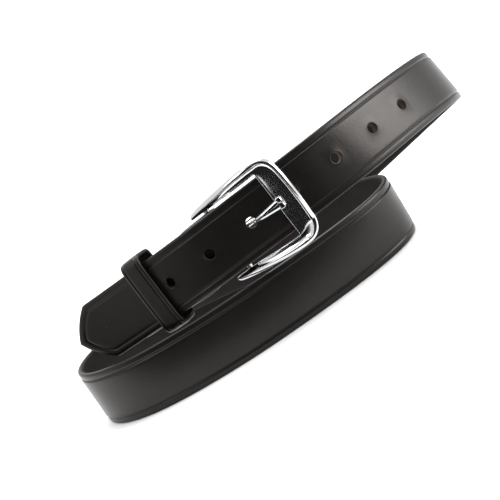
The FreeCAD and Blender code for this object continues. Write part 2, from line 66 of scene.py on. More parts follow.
def sampled(points, steps=26):
    # a smooth line through given control points, as a list of places
    curve = bpy.data.curves.new("guide", "CURVE")
    curve.dimensions = "3D"
    spline = curve.splines.new("NURBS")
    spline.points.add(len(points) - 1)
    for knot, place in zip(spline.points, points):
        knot.co = (*place, 1)
    spline.order_u = 4
    spline.use_endpoint_u = True
    curve.resolution_u = steps
    guide = bpy.data.objects.new("guide", curve)
    mesh = bpy.data.meshes.new_from_object(guide)
    places = [v.co.copy() for v in mesh.vertices]
    bpy.data.meshes.remove(mesh)
    bpy.data.objects.remove(guide)
    bpy.data.curves.remove(curve)
    return places


def distances(places):
    run = [0.0]
    for a, b in zip(places, places[1:]):
        run.append(run[-1] + (b - a).length)
    return run


def between(places, run, s):
    i = min(max(bisect_right(run, s) - 1, 0), len(run) - 2)
    return places[i].lerp(places[i + 1], (s - run[i]) / (run[i + 1] - run[i]))


def ramp(value, table):
    # reads a table of (position, value) rows, straight between them
    for (x0, y0), (x1, y1) in zip(table, table[1:]):
        if value <= x1:
            return y0 + (y1 - y0) * max(0, (value - x0) / (x1 - x0))
    return table[-1][1]


# how the belt lies
belt = {
    "width": 32 * mm,
    "thick": 3.6 * mm,
    "turn": 6.5,                      # the buckled stretch, degrees about Z
    "slope": 6.0,
    "lean": -4.0,
    "prongHole": Vector((-0.007, -0.057, 0.0585)),
    "pitch": 25.4 * mm,
    "holesAfter": 2,
    "holesBefore": 4,
    "tipLength": 14.5 * mm,
    "layerGap": 0.8 * mm,
}


def axesFor(along, lean):
    levelOut = Vector((0, 0, 1)).cross(along).normalized()
    upright = along.cross(levelOut)
    up = upright * math.cos(math.radians(lean)) + levelOut * math.sin(math.radians(lean))
    return up.cross(along), up


slope, turn = math.radians(belt["slope"]), math.radians(belt["turn"])
buckleAlong = Vector((math.cos(slope) * math.cos(turn), -math.cos(slope) * math.sin(turn), math.sin(slope)))
buckleOut, buckleUp = axesFor(-buckleAlong, belt["lean"])


def inBuckle(u, n, v):
    # u towards the front bar, n outwards from the billet's middle, v up, from the prong's hole
    return belt["prongHole"] + buckleAlong * u + buckleOut * n + buckleUp * v


barU = -15 * mm                       # heel bar
barN = -7.05 * mm
hinge = [j for j in frame["joints"] if j["name"] == "buckle_swing"][0]
jointGap = (inBuckle(barU, barN, 0) - Vector(hinge["pos_m"])).length
print("heel bar is", round(jointGap * 1000, 3), "mm from its joint")

# the strap's middle line: place, and lean of its top edge outwards in degrees
innerTurn = [
    (-0.043, -0.0472, 0.0526, -4.5), (-0.051, -0.0432, 0.052, -5), (-0.060, -0.0392, 0.051, -5),
    (-0.073, -0.0345, 0.049, -5),
    (-0.085, -0.022, 0.046, -5), (-0.086, 0, 0.041, -4), (-0.073, 0.021, 0.036, 0),
    (-0.046, 0.037, 0.029, 4), (-0.008, 0.042, 0.022, 7), (0.030, 0.036, 0.017, 3),
    (0.057, 0.018, 0.016, 0), (0.069, -0.008, 0.016, 0), (0.057, -0.035, 0.016, 0), (0.018, -0.048, 0.016, 0),
]
outerTurn = [
    (-0.012, -0.053, 0.016, 0), (-0.037, -0.056, 0.016, 0), (-0.064, -0.055, 0.016, 0),
    (-0.098, -0.049, 0.016, 0), (-0.127, -0.027, 0.016, 0), (-0.130, 0.009, 0.016, 0),
    (-0.097, 0.042, 0.016, 0), (-0.037, 0.052, 0.019, 6), (0.025, 0.056, 0.027, 12),
    (0.087, 0.068, 0.036, 12), (0.125, 0.045, 0.049, 0), (0.128, 0.006, 0.059, -14),
    (0.096, -0.027, 0.063, -14), (0.061, -0.053, 0.064, -12),
]
tail = [(-0.063, -0.044, 0.052, -5), (-0.090, -0.030, 0.048, -6), (-0.116, -0.021, 0.0455, -8)]

routePoints = [(*inBuckle(u, -4.4 * mm, 0), belt["lean"]) for u in (-0.023, -0.025, -0.0275, -0.030)]
routePoints += innerTurn + outerTurn
routePoints += [(*inBuckle(u, 0, 0), belt["lean"]) for u in (0.040, 0.024, 0.008, -0.008, -0.022, -0.033)]
routePoints += tail
middleLine = sampled([point[:3] for point in routePoints])
leanLine = sampled([(i, point[3], 0) for i, point in enumerate(routePoints)])
routeRun = distances(middleLine)
routeLength = routeRun[-1]
pointsBefore = [middleLine[0]] + middleLine[:-1]
pointsAfter = middleLine[1:] + [middleLine[-1]]
directions = [(b - a).normalized() for a, b in zip(pointsBefore, pointsAfter)]
holeS = min(zip(middleLine, routeRun), key=lambda pair: (pair[0] - belt["prongHole"]).length)[1]
print("strap", round(routeLength, 4), "m, prong's hole at", round(holeS, 4))


def onStrap(s, out, up):
    # a place beside the middle line: s along it, out from its middle, up across it
    i = min(max(bisect_right(routeRun, s) - 1, 0), len(routeRun) - 2)
    f = (s - routeRun[i]) / (routeRun[i + 1] - routeRun[i])
    along = directions[i].lerp(directions[i + 1], f).normalized()
    lean = leanLine[i].y + (leanLine[i + 1].y - leanLine[i].y) * f
    outward, upward = axesFor(along, lean)
    return middleLine[i].lerp(middleLine[i + 1], f) + outward * out + upward * up


def fixedAxes(s):
    middle = onStrap(s, 0, 0)
    along = (onStrap(s + mm, 0, 0) - onStrap(s - mm, 0, 0)).normalized()
    outward = (onStrap(s, mm, 0) - middle).normalized()
    upward = (onStrap(s, 0, mm) - middle).normalized()
    return middle, along, outward, upward


# materials
def newMaterial(name):
    material = bpy.data.materials.new(name)
    material.use_nodes = True
    nodes = material.node_tree.nodes
    return material, nodes, material.node_tree.links, nodes["Principled BSDF"]


def noise(nodes, links, coordinates, scale, detail=4.0, roughness=0.55):
    texture = nodes.new("ShaderNodeTexNoise")
    texture.inputs["Scale"].default_value = scale
    texture.inputs["Detail"].default_value = detail
    texture.inputs["Roughness"].default_value = roughness
    links.new(coordinates.outputs["Object"], texture.inputs["Vector"])
    return texture


def colourRamp(nodes, links, factor, stops):
    blend = nodes.new("ShaderNodeValToRGB")
    for element, (position, colour) in zip(blend.color_ramp.elements, (stops[0], stops[-1])):
        element.position = position
        element.color = (*colour, 1)
    for position, colour in stops[1:-1]:
        blend.color_ramp.elements.new(position).color = (*colour, 1)
    links.new(factor, blend.inputs["Fac"])
    return blend


def rangeOf(nodes, links, factor, low, high):
    mapped = nodes.new("ShaderNodeMapRange")
    mapped.inputs["To Min"].default_value = low
    mapped.inputs["To Max"].default_value = high
    links.new(factor, mapped.inputs["Value"])
    return mapped.outputs["Result"]


leatherLook = {
    "dark": (0.0034, 0.0032, 0.0031),
    "mid": (0.0055, 0.0050, 0.0048),
    "light": (0.0085, 0.0077, 0.0072),
    "gloss": (0.27, 0.36),
    "grainScale": 1500,
    "pebbleScale": 900,
    "creaseScale": 260,
}


def leather(name, look, grainHeight=0.00005):
    material, nodes, links, shader = newMaterial(name)
    place = nodes.new("ShaderNodeTexCoord")
    mottling = noise(nodes, links, place, 34, 5)
    tone = colourRamp(nodes, links, mottling.outputs["Fac"],
                      [(0.25, look["dark"]), (0.52, look["mid"]), (0.85, look["light"])])
    links.new(tone.outputs["Color"], shader.inputs["Base Color"])
    handling = noise(nodes, links, place, 75, 6, 0.6)
    links.new(rangeOf(nodes, links, handling.outputs["Fac"], *look["gloss"]), shader.inputs["Roughness"])
    shader.inputs["Specular IOR Level"].default_value = 0.32
    shader.inputs["Specular Tint"].default_value = (1.0, 0.93, 0.88, 1)
    shader.inputs["Coat Weight"].default_value = 0.04
    shader.inputs["Coat Roughness"].default_value = 0.3
    pebble = nodes.new("ShaderNodeTexVoronoi")            # fine pebbling of the finished grain
    pebble.inputs["Scale"].default_value = look["pebbleScale"]
    links.new(place.outputs["Object"], pebble.inputs["Vector"])
    pores = noise(nodes, links, place, look["grainScale"], 3)
    wrinkles = noise(nodes, links, place, look["creaseScale"], 5, 0.5)
    surface = None
    for texture, output, strength, height in (
        (wrinkles, "Fac", 0.30, grainHeight * 1.6),
        (pebble, "Distance", 0.45, grainHeight),
        (pores, "Fac", 0.35, grainHeight * 0.5),
    ):
        bump = nodes.new("ShaderNodeBump")
        bump.inputs["Strength"].default_value = strength
        bump.inputs["Distance"].default_value = height
        links.new(texture.outputs[output], bump.inputs["Height"])
        if surface:
            links.new(surface, bump.inputs["Normal"])
        surface = bump.outputs["Normal"]
    links.new(surface, shader.inputs["Normal"])
    return material


def metal(name, colours, gloss, scratchScale=900, scratchDepth=0.000004):
    material, nodes, links, shader = newMaterial(name)
    place = nodes.new("ShaderNodeTexCoord")
    shader.inputs["Metallic"].default_value = 1.0
    haze = noise(nodes, links, place, 120, 5)
    tone = colourRamp(nodes, links, haze.outputs["Fac"], [(0.3, colours[0]), (0.75, colours[1])])
    links.new(tone.outputs["Color"], shader.inputs["Base Color"])
    links.new(rangeOf(nodes, links, haze.outputs["Fac"], *gloss), shader.inputs["Roughness"])
    rub = nodes.new("ShaderNodeMapping")                  # polishing marks run one way
    rub.inputs["Scale"].default_value = (1.0, 0.12, 0.12)
    links.new(place.outputs["Object"], rub.inputs["Vector"])
    marks = noise(nodes, links, place, scratchScale, 2)
    links.new(rub.outputs["Vector"], marks.inputs["Vector"])
    bump = nodes.new("ShaderNodeBump")
    bump.inputs["Strength"].default_value = 0.05
    bump.inputs["Distance"].default_value = scratchDepth
    links.new(marks.outputs["Fac"], bump.inputs["Height"])
    links.new(bump.outputs["Normal"], shader.inputs["Normal"])
    return material


grain = leather("beltGrain", leatherLook)
# the flesh side's near-black tones are partly its dark dye and partly painted shade for the inner faces,
# which lie in shadow between the turns and inside the keeper
fleshDyeAndPaintedShadeLook = dict(
    leatherLook,
    dark=(0.0040, 0.0034, 0.0031),
    mid=(0.0065, 0.0054, 0.0048),
    light=(0.011, 0.009, 0.0076),
    gloss=(0.55, 0.72),
    pebbleScale=1400,
)
fleshDyeAndPaintedShade = leather("beltLiningDyeAndPaintedShade", fleshDyeAndPaintedShadeLook, 0.00008)
edgeLook = dict(
    leatherLook,
    dark=(0.0034, 0.0031, 0.0030),
    mid=(0.0052, 0.0047, 0.0045),
    light=(0.008, 0.0072, 0.0068),
    gloss=(0.26, 0.40),
    pebbleScale=1800,
)
edgePaint = leather("burnishedEdge", edgeLook, 0.00002)
punchedLook = dict(
    leatherLook,
    dark=(0.020, 0.010, 0.006),
    mid=(0.060, 0.032, 0.018),
    light=(0.13, 0.075, 0.045),
    gloss=(0.7, 0.9),
    pebbleScale=2400,
)
punched = leather("punchedLeather", punchedLook, 0.0001)
chrome = metal("polishedChrome", [(0.62, 0.625, 0.635), (0.72, 0.725, 0.735)], (0.04, 0.10))
pinSteel = metal("pinSteel", [(0.52, 0.52, 0.53), (0.66, 0.66, 0.67)], (0.16, 0.28), 700, 0.00001)
stapleSteel = metal("stapleWire", [(0.50, 0.49, 0.47), (0.64, 0.63, 0.61)], (0.22, 0.36), 900, 0.00001)
fastenerSteel = metal("fastenerSteel", [(0.56, 0.56, 0.57), (0.72, 0.72, 0.73)], (0.18, 0.32), 500, 0.00001)


# strap
strapSizes = {
    "cell": 1.27 * mm,                # 20 cells to a hole's pitch
    # distance in from the edge, depth under the grain face, depth of the flesh face
    "rows": [(0, 1.35, 2.35), (0.12, 0.98, 2.80), (0.40, 0.66, 3.18), (0.85, 0.44, 3.46), (1.6, 0.30, 3.6),
             (2.6, 0.24, 3.6), (3.1, 0.28, 3.6), (3.4, 0.48, 3.6), (3.7, 0.80, 3.6), (4.0, 0.52, 3.6),
             (4.25, 0.18, 3.6), (4.6, 0.03, 3.6), (5.2, 0.0, 3.6), (6.8, 0.0, 3.6), (8.6, 0.0, 3.6)],
    "cellsAcross": 8,                 # middle rows, one cell wide, that hold the holes
    "rim": [(3.9, 0.0), (3.55, -0.05), (3.28, -0.12), (3.0, -0.08), (2.84, 0.10), (2.75, 0.45)],
    "tipCells": 24,
    "slotHalf": 3.3 * mm,
    "skive": 8 * mm,
    "skived": 2.4 * mm,
    "foldOuter": 4.45 * mm,
}
half = belt["width"] / 2
cell = strapSizes["cell"]


def foldPlace(t, depth, up):
    # the skived end, t past the route's start: along to the heel bar, round it, and back under the strap
    skive, outer = strapSizes["skive"], strapSizes["foldOuter"]
    thin = 1 - (1 - strapSizes["skived"] / belt["thick"]) * min(1, t / skive)
    depth = depth * thin
    bend = math.pi * outer
    rampStart, rampEnd = Vector((barU, barN - outer)), Vector((-0.029, -0.0087))
    if t <= skive:
        u, n, normal = barU - skive + t, -2.6 * mm, Vector((0, 1))
    elif t <= skive + bend:
        angle = (t - skive) / outer
        normal = Vector((math.sin(angle), math.cos(angle)))
        u, n = barU + outer * normal.x, barN + outer * normal.y
    elif t <= skive + bend + (rampEnd - rampStart).length:
        share = (t - skive - bend) / (rampEnd - rampStart).length
        u, n = rampStart.lerp(rampEnd, share)
        normal = Vector((-0.19, -0.98)).lerp(Vector((0, -1)), share).normalized()
    else:
        s = 6 * mm + t - skive - bend - (rampEnd - rampStart).length
        return onStrap(s, -4.3 * mm + depth, up)
    return inBuckle(u - normal.x * depth, n - normal.y * depth, up)


foldTotal = strapSizes["skive"] + math.pi * strapSizes["foldOuter"] + 14.28 * mm + 22 * mm
cellsBack = int((holeS + foldTotal) / cell)
cellsOn = int((routeLength - holeS) / cell)
stripStart = holeS - cellsBack * cell
stripEnd = holeS + cellsOn * cell     # the tip's last rows are stretched to reach the very end
columns = cellsBack + cellsOn
sideRows = strapSizes["rows"]
across = [-half + row[0] * mm for row in sideRows]
across += [i * cell for i in range(-strapSizes["cellsAcross"] // 2, strapSizes["cellsAcross"] // 2 + 1)]
across += [half - row[0] * mm for row in reversed(sideRows)]

bm = bmesh.new()
bmesh.ops.create_grid(bm, x_segments=columns, y_segments=len(across) - 1, size=0.5)
for v in bm.verts:
    v.co.x = stripStart + round((v.co.x + 0.5) * columns) * cell
    v.co.y = across[round((v.co.y + 0.5) * (len(across) - 1))]


def punch(bm, x):
    # a square of cells gives way to a round hole with a soft rim
    reach = strapSizes["cellsAcross"] * cell / 2
    gone = [f for f in bm.faces
            if max(abs(f.calc_center_median().x - x), abs(f.calc_center_median().y)) < reach]
    goneSet = set(gone)
    ring = [e for f in gone for e in f.edges if any(g not in goneSet for g in e.link_faces)]
    bmesh.ops.delete(bm, geom=gone, context="FACES")
    for v in {v for e in ring for v in e.verts}:
        side = max(abs(v.co.x - x), abs(v.co.y))
        if abs(v.co.x - x) >= side - 1e-7:
            angle = math.atan2(math.tan(v.co.y / side * math.pi / 4), math.copysign(1, v.co.x - x))
        else:
            angle = math.atan2(math.copysign(1, v.co.y), math.tan((v.co.x - x) / side * math.pi / 4))
        v.co.x = x + strapSizes["rim"][0][0] * mm * math.cos(angle)
        v.co.y = strapSizes["rim"][0][0] * mm * math.sin(angle)
    for (r0, depth0), (r1, depth1) in zip(strapSizes["rim"], strapSizes["rim"][1:]):
        grown = bmesh.ops.extrude_edge_only(bm, edges=ring)["geom"]
        verts = [g for g in grown if isinstance(g, bmesh.types.BMVert)]
        ring = [g for g in grown if isinstance(g, bmesh.types.BMEdge)]
        bmesh.ops.scale(bm, vec=(r1 / r0, r1 / r0, 1), space=Matrix.Translation((-x, 0, 0)), verts=verts)


holes = [holeS + i * belt["pitch"] for i in range(-belt["holesBefore"], belt["holesAfter"] + 1)]
for x in holes:
    punch(bm, x)

# slot in the fold, where the prong's eye goes round the heel bar
slotMiddle = -(strapSizes["skive"] + math.pi * strapSizes["foldOuter"] / 2)
slotReach = math.pi * strapSizes["foldOuter"] / 2 + 7.5 * mm
slotFaces = [f for f in bm.faces if abs(f.calc_center_median().x - slotMiddle) < slotReach
             and abs(f.calc_center_median().y) < 2 * cell]
bmesh.ops.delete(bm, geom=slotFaces, context="FACES")
for v in bm.verts:
    if abs(v.co.x - slotMiddle) < slotReach + 3 * cell and abs(v.co.y) < 4.5 * cell:
        spread = ramp(abs(v.co.x - slotMiddle) - slotReach, [(0, 1), (3 * cell, 0)])
        bulge = strapSizes["slotHalf"] / (2 * cell)
        v.co.y *= 1 + (bulge - 1) * spread * ramp(abs(v.co.y), [(2 * cell, 1), (4.5 * cell, 0)])

bmesh.ops.recalc_face_normals(bm, faces=bm.faces)
if sum(f.normal.z for f in bm.faces) < 0:
    bmesh.ops.reverse_faces(bm, faces=bm.faces)
grown = bmesh.ops.extrude_face_region(bm, geom=list(bm.faces), use_keep_orig=True)
tipWalls = [f for f in bm.faces if all(v.co.x > stripEnd - cell / 2 for v in f.verts)]
back = {g for g in grown["geom"] if isinstance(g, bmesh.types.BMVert)}
for f in bm.faces:
    behind = sum(v in back for v in f.verts)
    place = f.calc_center_median()
    # the back faces take the flesh material: dark dye with painted shade
    if behind == len(f.verts):
        f.material_index = 1
    elif behind:                      # walls: the outer edges are painted, the holes and the slot are raw
        f.material_index = 3 if abs(place.y) < half - mm else 2
    elif half - abs(place.y) < 0.4 * mm:
        f.material_index = 2
bmesh.ops.delete(bm, geom=tipWalls, context="FACES")      # both halves of the tip meet here
frontDepths = [(row[0] * mm, row[1] * mm) for row in sideRows]
backDepths = [(row[0] * mm, row[2] * mm) for row in sideRows]
rimDepths = [(r * mm, depth * mm) for r, depth in reversed(strapSizes["rim"])]


def tipPlace(x, y):
    # the last rows close in on the point, and the crease stays parallel to the edge
    reach = strapSizes["tipCells"] * cell
    q = (x - (stripEnd - reach)) / reach
    if q <= 0:
        return x, y
    shoulder = routeLength - belt["tipLength"]
    straight = 0.28
    inset = half - abs(y)
    if q < straight:
        edgeX = (stripEnd - reach) + (shoulder - stripEnd + reach) * q / straight
        edgeY = half
        pull = 0.44 * q / straight
    else:
        w = (q - straight) / (1 - straight)
        edgeX = (1 - w) ** 2 * shoulder + 2 * w * (1 - w) * (routeLength - 4.93 * mm) + w * w * routeLength
        edgeY = (1 - w) ** 2 * half + 2 * w * (1 - w) * 9.6 * mm
        pull = (1 - edgeY / half * 0.672) / 0.741
    return edgeX - inset * pull, math.copysign(edgeY * (1 - inset / half), y)


for v in bm.verts:
    x, y = v.co.x, v.co.y
    inset = half - abs(y)
    depth = ramp(inset, backDepths if v in back else frontDepths)
    near = min(math.hypot(x - hole, y) for hole in holes)
    if v not in back and near < strapSizes["rim"][0][0] * mm:
        depth = ramp(near, rimDepths)
    x, y = tipPlace(x, y)
    if x < 0:
        v.co = foldPlace(-x, depth, y)
    else:
        v.co = onStrap(x, belt["thick"] / 2 - depth, y)
bmesh.ops.remove_doubles(bm, verts=bm.verts, dist=0.00002)
bmesh.ops.recalc_face_normals(bm, faces=bm.faces)
strap = finished(bm, "beltStrap", [grain, fleshDyeAndPaintedShade, edgePaint, punched], "strap", ("strap",))

bpy.context.view_layer.update()
print("strap made")


# keeper
keeperSizes = {
    "setback": 47 * mm,
    "width": 12 * mm,
    "thick": 2 * mm,
    "headroom": 3.2 * mm,
    "frontSlack": 1.6 * mm,
    "backSlack": 2.6 * mm,
    # across the band from one edge to the middle, depth outside, depth inside
    "rows": [(0, 0.80, 1.25), (0.12, 0.45, 1.60), (0.40, 0.22, 1.88), (0.9, 0.12, 2.0), (1.5, 0.10, 2.0),
             (1.85, 0.20, 2.0), (2.0, 0.36, 2.0), (2.15, 0.20, 2.0), (2.45, 0.04, 2.0), (3.0, 0, 2.0),
             (4.4, 0, 2.0)],
    "around": 168,
}
keeperS = holeS - barU + keeperSizes["setback"]
middle, along, outward, upward = fixedAxes(keeperS)
front = belt["thick"] / 2 + keeperSizes["frontSlack"] + keeperSizes["thick"]
rear = -(1.5 * belt["thick"] + belt["layerGap"] + keeperSizes["backSlack"] + keeperSizes["thick"])
tall = half + keeperSizes["headroom"] + keeperSizes["thick"]
mid = (front + rear) / 2
keeperLine = sampled([
    (rear, -0.0002, 0), (rear, -0.004, 0), (rear, -0.012, 0), (rear, -tall + 0.0025, 0),
    (rear + 0.0015, -tall, 0),
    (mid, -tall, 0), (front - 0.0022, -tall, 0), (front - 0.0002, -tall + 0.0035, 0), (front, -0.012, 0),
    (front, 0, 0),
    (front, 0.012, 0), (front - 0.0002, tall - 0.0035, 0), (front - 0.0022, tall, 0), (mid, tall, 0),
    (rear + 0.0015, tall, 0), (rear, tall - 0.0025, 0), (rear, 0.012, 0), (rear, 0.004, 0), (rear, 0.0002, 0),
])
keeperRun = distances(keeperLine)
bandRows = keeperSizes["rows"]
bandAcross = [-keeperSizes["width"] / 2 + row[0] * mm for row in bandRows] + [0]
bandAcross += [keeperSizes["width"] / 2 - row[0] * mm for row in reversed(bandRows)]
bm = bmesh.new()
bmesh.ops.create_grid(bm, x_segments=keeperSizes["around"], y_segments=len(bandAcross) - 1, size=0.5)
grown = bmesh.ops.extrude_face_region(bm, geom=list(bm.faces), use_keep_orig=True)
inner = {g for g in grown["geom"] if isinstance(g, bmesh.types.BMVert)}
outsideDepths = [(row[0] * mm, row[1] * mm) for row in bandRows]
insideDepths = [(row[0] * mm, row[2] * mm) for row in bandRows]
# the keeper's inside takes the flesh material: dark dye with painted shade
for f in bm.faces:
    behind = sum(v in inner for v in f.verts)
    f.material_index = 1 if behind == len(f.verts) else 2 if behind else 0
for v in bm.verts:
    s = (v.co.x + 0.5) * keeperRun[-1]
    y = bandAcross[round((v.co.y + 0.5) * (len(bandAcross) - 1))]
    place = between(keeperLine, keeperRun, s)
    near = between(keeperLine, keeperRun, s - 0.1 * mm)
    ahead = (between(keeperLine, keeperRun, s + 0.1 * mm) - near).normalized()
    depth = ramp(keeperSizes["width"] / 2 - abs(y), insideDepths if v in inner else outsideDepths)
    n = place.x - ahead.y * depth
    up = place.y + ahead.x * depth
    v.co = middle + along * y + outward * n + upward * up
bmesh.ops.recalc_face_normals(bm, faces=bm.faces)
keeper = finished(bm, "keeperLoop", [grain, fleshDyeAndPaintedShade, edgePaint], "keeper", ("keeper",))
print("keeper made")


# buckle frame
frameSizes = {
    # ribs round one half of the horseshoe, from the arm's end to the middle of the front bar:
    # outer (u, v), inner (u, v), rise of the rim, rise of the inner edge, underside
    "sag": 0.6 * mm,                  # the frame hangs below the middle of the strap
    "ribs": [
        (-23.6, 19.0, -23.6, 18.5, -7.0, -7.1, -7.9),
        (-23.5, 20.1, -23.5, 17.9, -6.2, -6.8, -8.6),
        (-21.6, 20.8, -21.6, 17.9, -4.9, -5.8, -9.2),
        (-16.0, 21.7, -16.0, 18.0, -3.1, -4.5, -9.2),
        (-10.0, 22.5, -10.0, 17.7, -1.1, -2.6, -6.4),
        (-4.0, 23.2, -4.0, 17.8, 1.5, 0.1, -1.9),
        (3.0, 23.8, 3.0, 17.9, 3.9, 2.3, 0.8),
        (10.0, 24.2, 10.0, 18.0, 5.4, 3.5, 2.1),
        (14.2, 24.3, 14.2, 18.1, 5.7, 3.6, 2.15),
        (17.6, 24.2, 15.2, 18.1, 5.75, 3.5, 2.15),
        (21.1, 23.5, 15.2, 18.0, 5.75, 3.45, 2.15),
        (24.1, 21.4, 15.2, 17.7, 5.7, 3.45, 2.15),
        (26.0, 18.2, 15.2, 16.2, 5.65, 3.45, 2.15),
        (26.8, 14.3, 15.2, 13.2, 5.6, 3.45, 2.15),
        (27.2, 7.0, 15.2, 7.0, 5.6, 3.45, 2.15),
        (27.3, 0.0, 15.2, 0.0, 5.6, 3.45, 2.15),
    ],
    "rimWidth": 2.6 * mm,
    "around": 320,
}
ribs = list(frameSizes["ribs"])
ribs += [(a, -b, c, -d, e, f, g) for a, b, c, d, e, f, g in reversed(frameSizes["ribs"][:-1])]
outerLine = sampled([(a * mm, b * mm, 0) for a, b, c, d, e, f, g in ribs])
innerLine = sampled([(c * mm, d * mm, 0) for a, b, c, d, e, f, g in ribs])
riseLine = sampled([(e * mm, f * mm, g * mm) for a, b, c, d, e, f, g in ribs])
outerRun = distances(outerLine)


def framePlace(share, ring):
    # ring goes round the section: outer wall, rim, dish, inner lip, underside
    s = share * outerRun[-1]
    i = min(max(bisect_right(outerRun, s) - 1, 0), len(outerRun) - 2)
    f = (s - outerRun[i]) / (outerRun[i + 1] - outerRun[i])
    outer = outerLine[i].lerp(outerLine[i + 1], f)
    inner = innerLine[i].lerp(innerLine[i + 1], f)
    high, lip, low = riseLine[i].lerp(riseLine[i + 1], f)
    width = (inner - outer).length
    rim = min(frameSizes["rimWidth"], 0.62 * width)
    soft = min(0.5 * mm, width * 0.2)
    drop = min(1.4 * mm, 0.45 * (high - low))      # the rim is domed and falls away outwards
    section = [
        (soft, low), (soft * 0.35, low + soft * 0.35), (0, low + soft), (0, high - drop * 1.3),
        (rim * 0.08, high - drop * 0.9), (rim * 0.25, high - drop * 0.5), (rim * 0.5, high - drop * 0.2),
        (rim * 0.75, high - drop * 0.04), (rim * 0.93, high - drop * 0.02), (rim, high - soft * 0.5),
        (rim + (width - rim) * 0.25, high + (lip - high) * 0.62),
        (rim + (width - rim) * 0.55, high + (lip - high) * 0.88),
        (rim + (width - rim) * 0.85, lip - 0.02 * mm), (width - soft * 0.9, lip + 0.02 * mm),
        (width, lip - soft * 0.9), (width, low + soft), (width - soft * 0.35, low + soft * 0.35),
        (width - soft, low),
    ]
    inset, n = section[ring % len(section)]
    plan = outer.lerp(inner, min(1, inset / max(width, 1e-6)))
    return inBuckle(plan.x, n, plan.y - frameSizes["sag"])


ringCount = 18
bm = bmesh.new()
bmesh.ops.create_grid(bm, x_segments=frameSizes["around"], y_segments=ringCount, size=0.5)
for v in bm.verts:
    v.co = framePlace(v.co.x + 0.5, round((v.co.y + 0.5) * ringCount))
bmesh.ops.remove_doubles(bm, verts=bm.verts, dist=0.00001)
bmesh.ops.holes_fill(bm, edges=[e for e in bm.edges if e.is_boundary], sides=0)
bmesh.ops.recalc_face_normals(bm, faces=bm.faces)
buckleFrame = finished(bm, "buckleFrame", [chrome], "buckle", ("buckle_frame",))
print("buckle frame made")


# prong
prongSizes = {
    # along the prong: u, n, half width, half thickness, half width of its flat top
    "ribs": [
        (-11.4, -5.7, 1.3, 1.15, 0.9), (-9.0, -4.3, 1.3, 1.15, 0.9), (-4.5, -4.25, 1.3, 1.15, 0.8),
        (-0.5, -4.25, 1.2, 1.1, 0.7), (0.9, -4.25, 1.1, 0.95, 0.6),
            (1.3, -3.9, 1.1, 0.9, 0.5), (1.35, -3.0, 1.05, 0.9, 0.5), (1.4, 0.0, 1.05, 0.9, 0.4),
        (1.6, 2.3, 0.95, 0.85, 0.3), (2.9, 3.8, 0.95, 0.85, 0.3), (6.0, 4.6, 1.35, 0.95, 0.4),
        (10.5, 4.65, 1.75, 0.95, 0.75), (13.8, 4.65, 2.15, 1.0, 1.1), (16.0, 4.7, 2.3, 1.05, 1.2),
    ],
    "sag": 0.5 * mm,
    "around": 150,
    "sides": 20,
}
prongLine = sampled([(u * mm, n * mm, 0) for u, n, w, t, f in prongSizes["ribs"]])
prongShape = sampled([(w * mm, t * mm, f * mm) for u, n, w, t, f in prongSizes["ribs"]])
prongRun = distances(prongLine)


def prongPlace(share, side):
    s = share * prongRun[-1]
    i = min(max(bisect_right(prongRun, s) - 1, 0), len(prongRun) - 2)
    f = (s - prongRun[i]) / (prongRun[i + 1] - prongRun[i])
    centre = prongLine[i].lerp(prongLine[i + 1], f)
    ahead = (prongLine[i + 1] - prongLine[i]).normalized()
    wide, thick, flat = prongShape[i].lerp(prongShape[i + 1], f)
    angle = side * 2 * math.pi / prongSizes["sides"]
    up, out = math.cos(angle), math.sin(angle)
    if out > 0:                       # the flat top and its two slopes
        reach = abs(up)
        out = min(1, out * 1.25) if reach * wide > flat else 1.0
        out = 1 - max(0, reach * wide - flat) / max(wide - flat, 1e-6) * 0.85
    lift = Vector((-ahead.y, ahead.x, 0))
    place = centre + lift * out * thick
    return inBuckle(place.x, place.y, up * wide - prongSizes["sag"])


bm = bmesh.new()
bmesh.ops.create_grid(bm, x_segments=prongSizes["around"], y_segments=prongSizes["sides"], size=0.5)
for v in bm.verts:
    v.co = prongPlace(v.co.x + 0.5, round((v.co.y + 0.5) * prongSizes["sides"]))
bmesh.ops.remove_doubles(bm, verts=bm.verts, dist=0.00001)
bmesh.ops.holes_fill(bm, edges=[e for e in bm.edges if e.is_boundary], sides=0)
bmesh.ops.recalc_face_normals(bm, faces=bm.faces)
toBuckle = Matrix((
    (buckleAlong.x, buckleUp.x, buckleOut.x), (buckleAlong.y, buckleUp.y, buckleOut.y),
    (buckleAlong.z, buckleUp.z, buckleOut.z))).to_4x4()
capPlace = Matrix.Translation(inBuckle(17.3 * mm, 4.75 * mm, -prongSizes["sag"])) @ toBuckle
cap = bmesh.ops.create_cube(bm, size=1, matrix=capPlace @ Matrix.Diagonal((3.0 * mm, 6.1 * mm, 2.3 * mm, 1)))
capEdges = list({e for v in cap["verts"] for e in v.link_edges})
bmesh.ops.bevel(bm, geom=capEdges, offset=0.75 * mm, segments=5, profile=0.5, affect="EDGES", material=-1)
eyePlace = Matrix.Translation(inBuckle(barU, barN, -2.5 * mm - prongSizes["sag"]))
eyeTurn = toBuckle @ Matrix.Rotation(math.pi / 2, 4, "X")
eye = bmesh.ops.create_circle(bm, segments=40, radius=3.11 * mm, cap_ends=False, matrix=eyePlace @ eyeTurn)
hub = bmesh.ops.extrude_edge_only(bm, edges=list({e for v in eye["verts"] for e in v.link_edges}))["geom"]
bmesh.ops.translate(bm, vec=buckleUp * 5 * mm, verts=[g for g in hub if isinstance(g, bmesh.types.BMVert)])
eyeFaces = [g for g in hub if isinstance(g, bmesh.types.BMFace)]
bmesh.ops.recalc_face_normals(bm, faces=eyeFaces)
bmesh.ops.solidify(bm, geom=eyeFaces, thickness=1.3 * mm)
bmesh.ops.recalc_face_normals(bm, faces=bm.faces)
prong = finished(bm, "prongPin", [chrome], "prong", ("prong",), 38)
print("prong made")


# carried-over pieces
for node, material in (("heel_bar", pinSteel), ("keeper_staple", stapleSteel), ("screw_posts", fastenerSteel),
                       ("screws", fastenerSteel)):
    for slotIndex in range(len(frame["nodes"][node].material_slots)):
        frame["nodes"][node].material_slots[slotIndex].material = material


